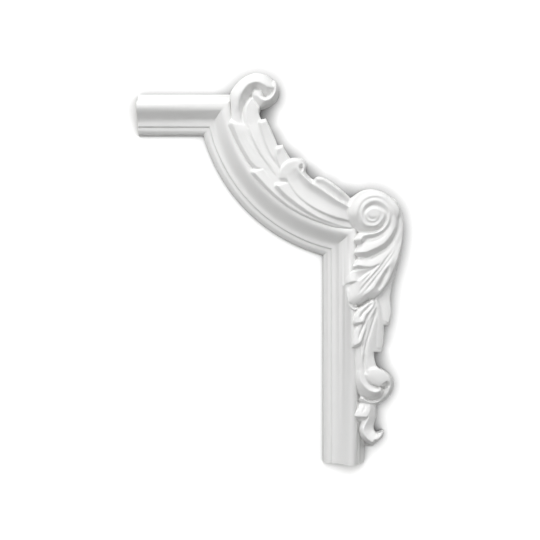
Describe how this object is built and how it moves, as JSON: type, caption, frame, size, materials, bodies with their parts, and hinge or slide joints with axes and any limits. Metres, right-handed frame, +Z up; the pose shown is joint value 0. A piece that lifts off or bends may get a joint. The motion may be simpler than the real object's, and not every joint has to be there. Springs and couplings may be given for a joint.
{
  "type": "carved moulding corner",
  "caption": "Relief corner for a panel moulding: a short arm and a long leg of one profile joined by a bend, with acanthus leaves, a volute and scrolls.",
  "frame": {"origin": "on the flat back, at the middle of the bend and of the moulding's width", "axes": "+Y out of the back towards the wall, -Y out of the carved face, +Z up along the leg, +X from the arm towards the leg"},
  "size_m": [0.2621, 0.0249, 0.3864],
  "materials": {
    "primed_polyurethane": "white factory primer, satin-matt, on rigid polyurethane foam"
  },
  "bodies": {
    "root": {"moulding_corner": "primed_polyurethane"}
  },
  "joints": []
}
